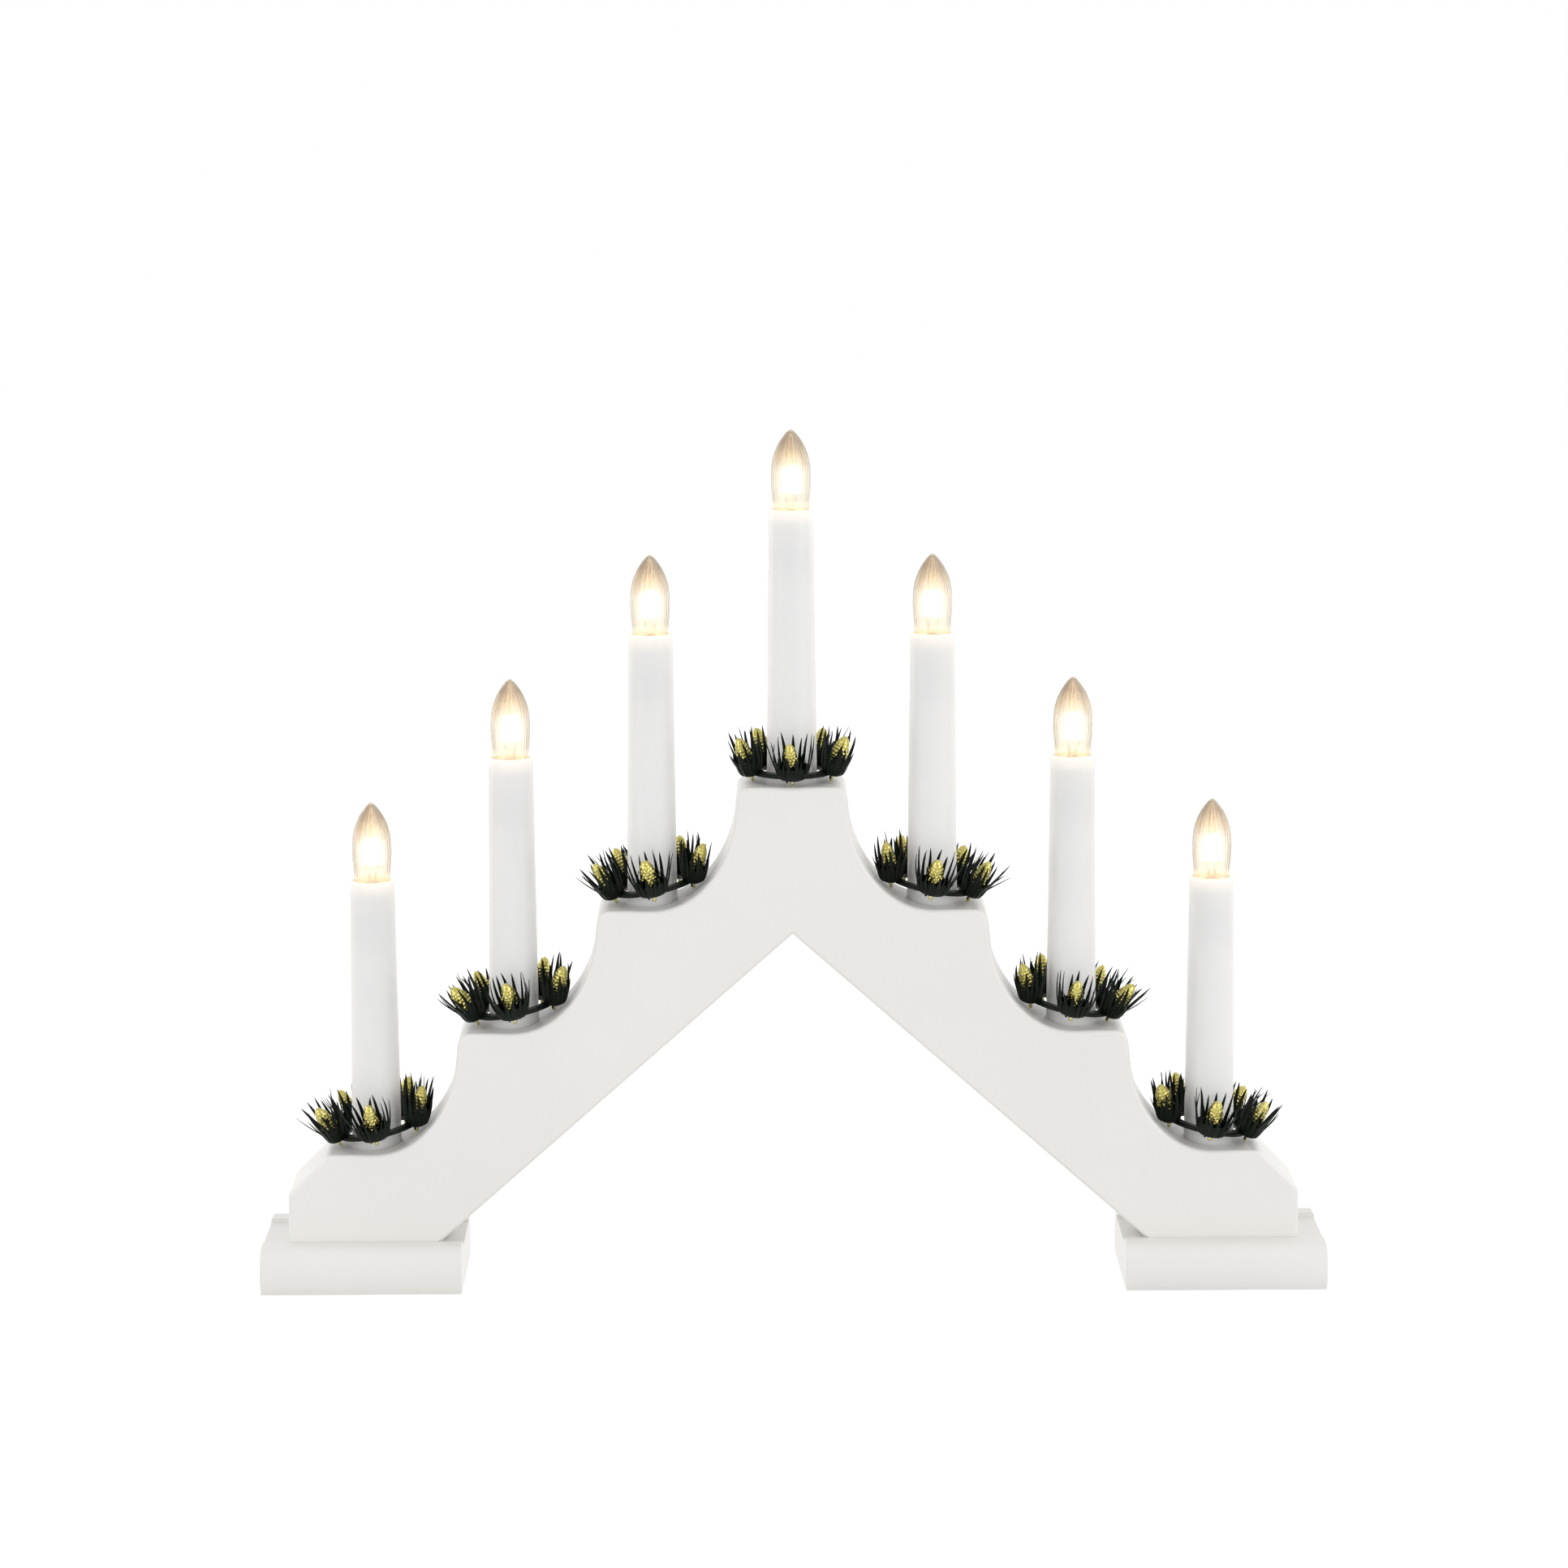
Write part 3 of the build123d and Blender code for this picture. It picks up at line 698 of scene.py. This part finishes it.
brass = Finish("brass")
brass.set(Metallic=1.0)
brass.mottle(160.0, (0.55, 0.40, 0.15), (0.72, 0.55, 0.25), detail=4.0, spread=0.25)
brass.uneven_gloss(500.0, 0.22, 0.42)
black_glass = Finish("insulator_black_glass")
black_glass.set(Roughness=0.12)
black_glass.mottle(300.0, (0.008, 0.008, 0.009), (0.02, 0.019, 0.018))
solder_metal = Finish("solder")
solder_metal.set(Metallic=1.0)
solder_metal.mottle(700.0, (0.45, 0.45, 0.46), (0.62, 0.62, 0.63))
solder_metal.uneven_gloss(900.0, 0.3, 0.5)
for n in STATIONS:
    cap_shape().moved(RIMS[n]).piece(f"lamp_cap_threaded_{n}", f"lamp_{n}", f"lamp_cap_{n}",
                                     "brass", [brass])
    contact_shape().moved(RIMS[n]).piece(f"lamp_contact_soldered_{n}", f"lamp_tip_{n}",
                                         f"lamp_contact_{n}", "insulator",
                                         [black_glass, solder_metal])
print("threaded", len(STATIONS), "caps at a pitch of", THREAD_PITCH, "mm")

# %% [markdown]
# ## Where the rings lie
# A ring has five cups round the candle, one of them at the front, and each cup leans out. The
# side rings rest against the scoop of the arch, so they tilt up towards the middle. Needles and
# cones share these places, so they are worked out once.

# %% Ring places
CUPS = 5
CUP_RADIUS = 15.8
CUP_LEAN = math.radians(14)
RING_TILT = math.radians(11)
RING_SHIFT = 0.8
STEM_DROP = 2.4
STEM_HALF = 0.7
SEAT_GAP = 0.25
CANDLE_LENGTH = 102.0


def ring_place(station):
    side = station - MIDDLE
    inward = -math.copysign(1, side) if side else 0
    lean = RING_TILT * abs(inward)
    reach = CUP_RADIUS - STEM_DROP * math.sin(CUP_LEAN)
    low = STEM_DROP * math.cos(CUP_LEAN) + STEM_HALF * math.sin(CUP_LEAN + lean)
    lift = reach * math.sin(lean) + low * math.cos(lean) + SEAT_GAP
    rim = RIMS[station]
    seat = Vector((rim.x + RING_SHIFT * inward, 0, rim.z - CANDLE_LENGTH + lift))
    return Matrix.Translation(seat) @ Matrix.Rotation(-RING_TILT * inward, 4, "Y")


def cup_turn(cup):
    return math.radians(-90 + cup * 360 / CUPS)


def cup_place(cup):
    turn = Matrix.Rotation(cup_turn(cup), 4, "Z")
    return turn @ Matrix.Translation((CUP_RADIUS, 0, 0)) @ Matrix.Rotation(CUP_LEAN, 4, "Y")


for n in STATIONS:
    print("ring", n, "seat, mm:", [round(v, 2) for v in ring_place(n).translation])

# %% [markdown]
# ## Band and cups
# Each ring is one moulding in dark green plastic. A thin band lies round the candle and carries
# five cups, small oval bowls whose fluted walls are the roots of the needles. Under each cup a
# short nub is left from the moulding.

# %% Band and cups
BAND_INNER, BAND_OUTER, BAND_HEIGHT = 11.3, 15.4, 1.6
BAND_EDGE = 0.3
BAND_POINTS = 64
CUP_DEPTH, CUP_WIDTH, CUP_HEIGHT = 9.2, 12.4, 5.6
# Height on the wall of a cup, and share of its width there
CUP_WALL = ((0.0, 0.32), (0.1, 0.52), (0.5, 0.69), (1.3, 0.83), (2.8, 0.94), (4.4, 1.0), (5.6, 1.03))
CUP_INSIDE = ((CUP_HEIGHT - 0.1, 0.86), (2.4, 0.66), (1.6, 0.40))
CUP_FLUTE = 0.04
OUTER_NEEDLES, INNER_NEEDLES = 17, 9
POINTS_PER_NEEDLE = 4
NUB_RADIUS, NUB_DROP, NUB_OFFSET = 0.4, 1.3, -2.0
NUB_PROFILE = ((0.6, -NUB_DROP), (1.0, -NUB_DROP + 0.3), (1.0, 0.4))
NUB_POINTS = 10


def band_skin():
    inner, outer = BAND_INNER + BAND_EDGE, BAND_OUTER - BAND_EDGE
    low, high = BAND_EDGE, BAND_HEIGHT - BAND_EDGE
    profile = [(BAND_INNER, low), (inner, 0), (outer, 0), (BAND_OUTER, low), (BAND_OUTER, high),
               (outer, BAND_HEIGHT), (inner, BAND_HEIGHT), (BAND_INNER, high)]
    return join_rings([circle(r, z, BAND_POINTS) for r, z in profile], looped=True)


def oval(share, z, flute=0.0):
    count = OUTER_NEEDLES * POINTS_PER_NEEDLE
    ring = []
    for i in range(count):
        angle = 2 * math.pi * i / count
        s = share * (1 + flute * math.cos(OUTER_NEEDLES * angle))
        across, beside = s * CUP_DEPTH / 2, s * CUP_WIDTH / 2
        ring.append(Vector((across * math.cos(angle), beside * math.sin(angle), z)))
    return ring


def cup_skin():
    """Round bowl with a fluted wall that the needles grow out of."""
    outside = [oval(share, z, CUP_FLUTE * min(1, z)) for z, share in CUP_WALL]
    inside = [oval(share, z) for z, share in CUP_INSIDE]
    return join_rings(outside + inside, closed_start=True, closed_end=True)


def nub_skin():
    """Trace of the moulding gate under a cup."""
    rings = [circle(NUB_RADIUS * share, z, NUB_POINTS) for share, z in NUB_PROFILE]
    points, faces = join_rings(rings, closed_start=True, closed_end=True)
    return [p + Vector((0, NUB_OFFSET, 0)) for p in points], faces


print("cup:", len(cup_skin()[0]), "points, band:", len(band_skin()[0]), "points")

# %% [markdown]
# ## One needle
# The needles are flat and pointed and grow out of each cup like the petals of a crown. Hair
# particles would give round threads, so each needle is drawn as a flat blade along its own
# curve, with seeded differences in length, lean and bend. A needle is short in front of its cone
# and steep next to the candle. Cups on the downhill side of a side ring have room to spread.

# %% One needle
NEEDLE_LENGTH = 16.6
NEEDLE_WIDTH, NEEDLE_THICKNESS = 1.8, 0.38
NEEDLE_ROOT = 0.8
INNER_INSET = 0.74
BLADE_STEPS = 10
# Share of the length of a needle, and share of its width or thickness there
BLADE_WIDTH = ((0, 0.8), (0.3, 1.0), (0.55, 0.82), (0.8, 0.54), (0.94, 0.30), (1, 0.10))
BLADE_THICKNESS = ((0, 1.0), (0.6, 0.9), (1, 0.3))
FREE_SIDE = 0.3


def turned_in(angle):
    """Degrees between a needle and the outward side of its cup."""
    return abs((math.degrees(angle) + 180) % 360 - 180)


def stands_free(station, cup):
    """True for a cup on the downhill side of a side ring, where nothing is near."""
    return math.cos(cup_turn(cup)) * (station - MIDDLE) > FREE_SIDE


def needle_length(chance, angle, outer, free):
    """Short in front of the cone, where it faces out, and long at the sides or in a free cup."""
    if not outer:
        return NEEDLE_LENGTH * chance.uniform(0.42, 0.64)
    outward = 0.84 if free else 0.56
    shares = ((0, outward), (30, outward + 0.04), (60, 0.86), (95, 0.95), (180, 0.92))
    return NEEDLE_LENGTH * along(shares, turned_in(angle)) * chance.uniform(0.84, 1.06)


def needle_lean(chance, angle, outer, free):
    """Slope of a needle away from its cone, steeper next to the candle, flatter in a free cup."""
    if not outer:
        return math.tan(math.radians(chance.uniform(0, 8)))
    outward = 1.7 if free else 1.0
    shares = ((0, outward), (50, outward), (100, 1.0), (140, 0.6), (180, 0.4))
    return math.tan(math.radians(along(shares, turned_in(angle)) * chance.uniform(10, 22)))


def needle_skin(chance, turn, outer, free):
    """Flat blade up the wall of its cup, then out: broad at the root, bent like a claw, pointed."""
    angle = 2 * math.pi * turn
    out = Vector((CUP_DEPTH / 2 * math.cos(angle), CUP_WIDTH / 2 * math.sin(angle), 0))
    way = out.normalized()
    cross = Vector((-way.y, way.x, 0))
    length = needle_length(chance, angle, outer, free)
    lean = needle_lean(chance, angle, outer, free)
    bend = chance.uniform(-2.2, 0.8)
    sway = chance.uniform(-1.5, 1.5)
    twist = math.radians(chance.uniform(-25, 25))
    inset = 1.0 if outer else INNER_INSET
    broad = NEEDLE_WIDTH / 2 * chance.uniform(0.85, 1.1)
    rings = []
    for k in range(BLADE_STEPS):
        t = k / (BLADE_STEPS - 1)
        z = NEEDLE_ROOT + length * t
        rise = max(0, z - CUP_HEIGHT * 0.8)
        reach = way * (lean * rise + bend * t ** 3)
        centre = out * inset * along(CUP_WALL, z) + reach + cross * (sway * t ** 3)
        centre.z = z
        turned = twist * t
        flat_way = math.cos(turned) * cross + math.sin(turned) * way
        thick_way = math.cos(turned) * way - math.sin(turned) * cross
        width = broad * along(BLADE_WIDTH, t)
        thick = NEEDLE_THICKNESS * along(BLADE_THICKNESS, t)
        rings.append([centre + flat_way * width, centre + thick_way * thick,
                      centre - flat_way * width, centre - thick_way * thick * 0.5])
    return join_rings(rings, closed_start=True, closed_end=True)


print("needle:", BLADE_STEPS, "rings, free cups:",
      sum(stands_free(n, cup) for n in STATIONS for cup in range(CUPS)))

# %% [markdown]
# ## Needle rings
# Band, cups and needles of a ring are one moulding, so they are gathered in one shape, with two
# rows of needles in each cup. The plastic is nearly black with a green cast and a dull shine
# along the blades.

# %% Needle rings
def cup_needles(chance, free):
    """Skins of the two rows of needles in one cup."""
    skins = []
    for outer, count in ((True, OUTER_NEEDLES), (False, INNER_NEEDLES)):
        for i in range(count):
            turn = (i + 0.5 + chance.uniform(-0.2, 0.2)) / count
            skins.append(needle_skin(chance, turn, outer, free))
    return skins


needle_plastic = Finish("needle_plastic")
needle_plastic.set(Specular_IOR_Level=0.12)
needle_plastic.mottle(120.0, screen_colour(4, 7, 4), screen_colour(18, 28, 18))
needle_plastic.uneven_gloss(400.0, 0.26, 0.42)
needle_plastic.bump(needle_plastic.noise(800.0, 2.0, stretch=(1, 1, 0.2)), 0.15, BUMP_DISTANCE)
needle_total = 0
for n in STATIONS:
    chance = random.Random(100 + n)
    shape = Shape()
    shape.add(band_skin(), 0, ring_place(n))
    for cup in range(CUPS):
        place = ring_place(n) @ cup_place(cup)
        shape.add(cup_skin(), 0, place)
        shape.add(nub_skin(), 0, place)
        for skin in cup_needles(chance, stands_free(n, cup)):
            shape.add(skin, 0, place)
            needle_total += 1
    shape.piece(f"needle_ring_moulded_{n}", f"ring_{n}", f"needle_ring_{n}", "needle_plastic",
                [needle_plastic], sharp=40)
print("moulded", needle_total, "needles on", len(STATIONS), "rings")

# %% [markdown]
# ## Golden cones
# In each cup sits a small moulded cone in gold lacquer, with rows of rounded scales, and its
# stem comes out below the cup. The scales could be hundreds of separate beads, but on the real
# cone they are one moulding, so one skin is raised in staggered rows. The hollows between the
# scales get a painted shade: the colour runs dark where the skin is hollow and paler on the
# crests, which Blender finds by how pointed the skin is.

# %% Golden cones
CONE_FOOT, CONE_HEIGHT, CONE_RADIUS = 3.6, 12.0, 3.1
CONE_LEAN, CONE_SWAY = 11.0, 6.0
SCALE_ROWS, SCALE_COLUMNS = 9, 11
POINTS_PER_SCALE = 5
# Share of the height of a cone, and share of its radius or depth of its scales there
CONE_PROFILE = ((0, 0.45), (0.07, 0.78), (0.18, 0.95), (0.34, 1.0), (0.52, 0.96), (0.70, 0.83),
                (0.84, 0.63), (0.94, 0.38), (1.0, 0.06))
SCALE_RELIEF = ((0, 0.20), (0.5, 0.16), (0.75, 0.09), (1.0, 0.03))
STEM_PROFILE = ((0.35, -STEM_DROP), (0.62, -STEM_DROP + 0.25), (0.68, 0), (0.66, 3.0),
                (0.9, CONE_FOOT + 0.2))
STEM_POINTS = 10


def cone_skin(chance):
    """Staggered rows of rounded scales, each a little larger or smaller than the next."""
    rows, count = SCALE_ROWS * POINTS_PER_SCALE, SCALE_COLUMNS * POINTS_PER_SCALE
    turn = chance.uniform(0, 2 * math.pi)
    plump = CONE_RADIUS * chance.uniform(0.88, 1.12)
    uneven = [[chance.uniform(0.2, 1.4) for _ in range(SCALE_COLUMNS)] for _ in range(SCALE_ROWS + 1)]
    rings = []
    for k in range(rows + 1):
        t = k / rows
        row = t * SCALE_ROWS
        line = math.floor(row)
        swell = math.sin(math.pi * (row - line) ** 0.75) ** 0.6
        relief = along(SCALE_RELIEF, t)
        ring = []
        for i in range(count):
            angle = 2 * math.pi * i / count
            column = i / count * SCALE_COLUMNS + 0.5 * (line % 2)
            scale = math.sin(math.pi * (column % 1)) ** 0.7 * uneven[line][int(column) % SCALE_COLUMNS]
            r = plump * along(CONE_PROFILE, t) * (1 - relief + relief * swell * scale)
            ring.append(polar(r, angle + turn, CONE_FOOT + CONE_HEIGHT * t))
        rings.append(ring)
    return join_rings(rings, closed_start=True, closed_end=True)


def cone_place(chance):
    """A cone leans out of its cup, a little further or less than the next."""
    foot = Matrix.Translation((0, 0, CONE_FOOT))
    lean = Matrix.Rotation(math.radians(CONE_LEAN + chance.uniform(-CONE_SWAY, CONE_SWAY)), 4, "Y")
    sway = Matrix.Rotation(math.radians(chance.uniform(-CONE_SWAY, CONE_SWAY)), 4, "X")
    return foot @ lean @ sway @ foot.inverted()


def stem_skin():
    rings = [circle(r, z, STEM_POINTS) for r, z in STEM_PROFILE]
    return join_rings(rings, closed_start=True, closed_end=True)


gold = Finish("gold_lacquer")
gold.set(Metallic=1.0)
relief = gold.nodes.new("ShaderNodeNewGeometry")
# Painted shade: the colour goes nearly black where the skin is hollow and paler gold on the crests.
lacquer_with_painted_shade = gold.ramp(relief.outputs["Pointiness"], (0.44, (0.06, 0.05, 0.012)),
                    (0.50, (0.47, 0.41, 0.11)), (0.57, (0.84, 0.76, 0.31)))
gold.into(lacquer_with_painted_shade, "Base Color")
gold.uneven_gloss(600.0, 0.16, 0.32)
gold.bump(gold.noise(1500.0, 2.0), 0.2, BUMP_DISTANCE)
for n in STATIONS:
    chance = random.Random(200 + n)
    shape = Shape()
    for cup in range(CUPS):
        place = ring_place(n) @ cup_place(cup)
        shape.add(cone_skin(chance), 0, place @ cone_place(chance))
        shape.add(stem_skin(), 0, place)
    shape.piece(f"pine_cones_scaled_{n}", f"ring_{n}", f"pine_cones_{n}", "gold_lacquer",
                [gold], sharp=60)
print("lacquered", CUPS * len(STATIONS), "cones of", SCALE_ROWS, "rows")

# %% [markdown]
# ## Hidden fittings
# Sockets, shells, springs, wires and screws are only seen when a lamp is out or the arch is
# turned over. Their CAD shapes are right, so they only need finishes.

# %% Hidden fittings
holder = Finish("holder_white_plastic")
holder.mottle(300.0, (0.72, 0.71, 0.67), (0.80, 0.79, 0.75))
holder.uneven_gloss(800.0, 0.4, 0.6)
insulation = Finish("white_wire_insulation")
insulation.mottle(200.0, (0.62, 0.61, 0.58), (0.72, 0.71, 0.68))
insulation.uneven_gloss(700.0, 0.35, 0.5)
steel = Finish("zinc_plated_steel")
steel.set(Metallic=1.0)
steel.mottle(300.0, (0.50, 0.50, 0.48), (0.66, 0.66, 0.62))
steel.uneven_gloss(900.0, 0.25, 0.45)
dress(holder, "socket_bodies")
dress(brass, "socket_shells", "socket_contacts")
dress(insulation, "lamp_wires")
dress(steel, "foot_screws")
print("dressed the hidden fittings")
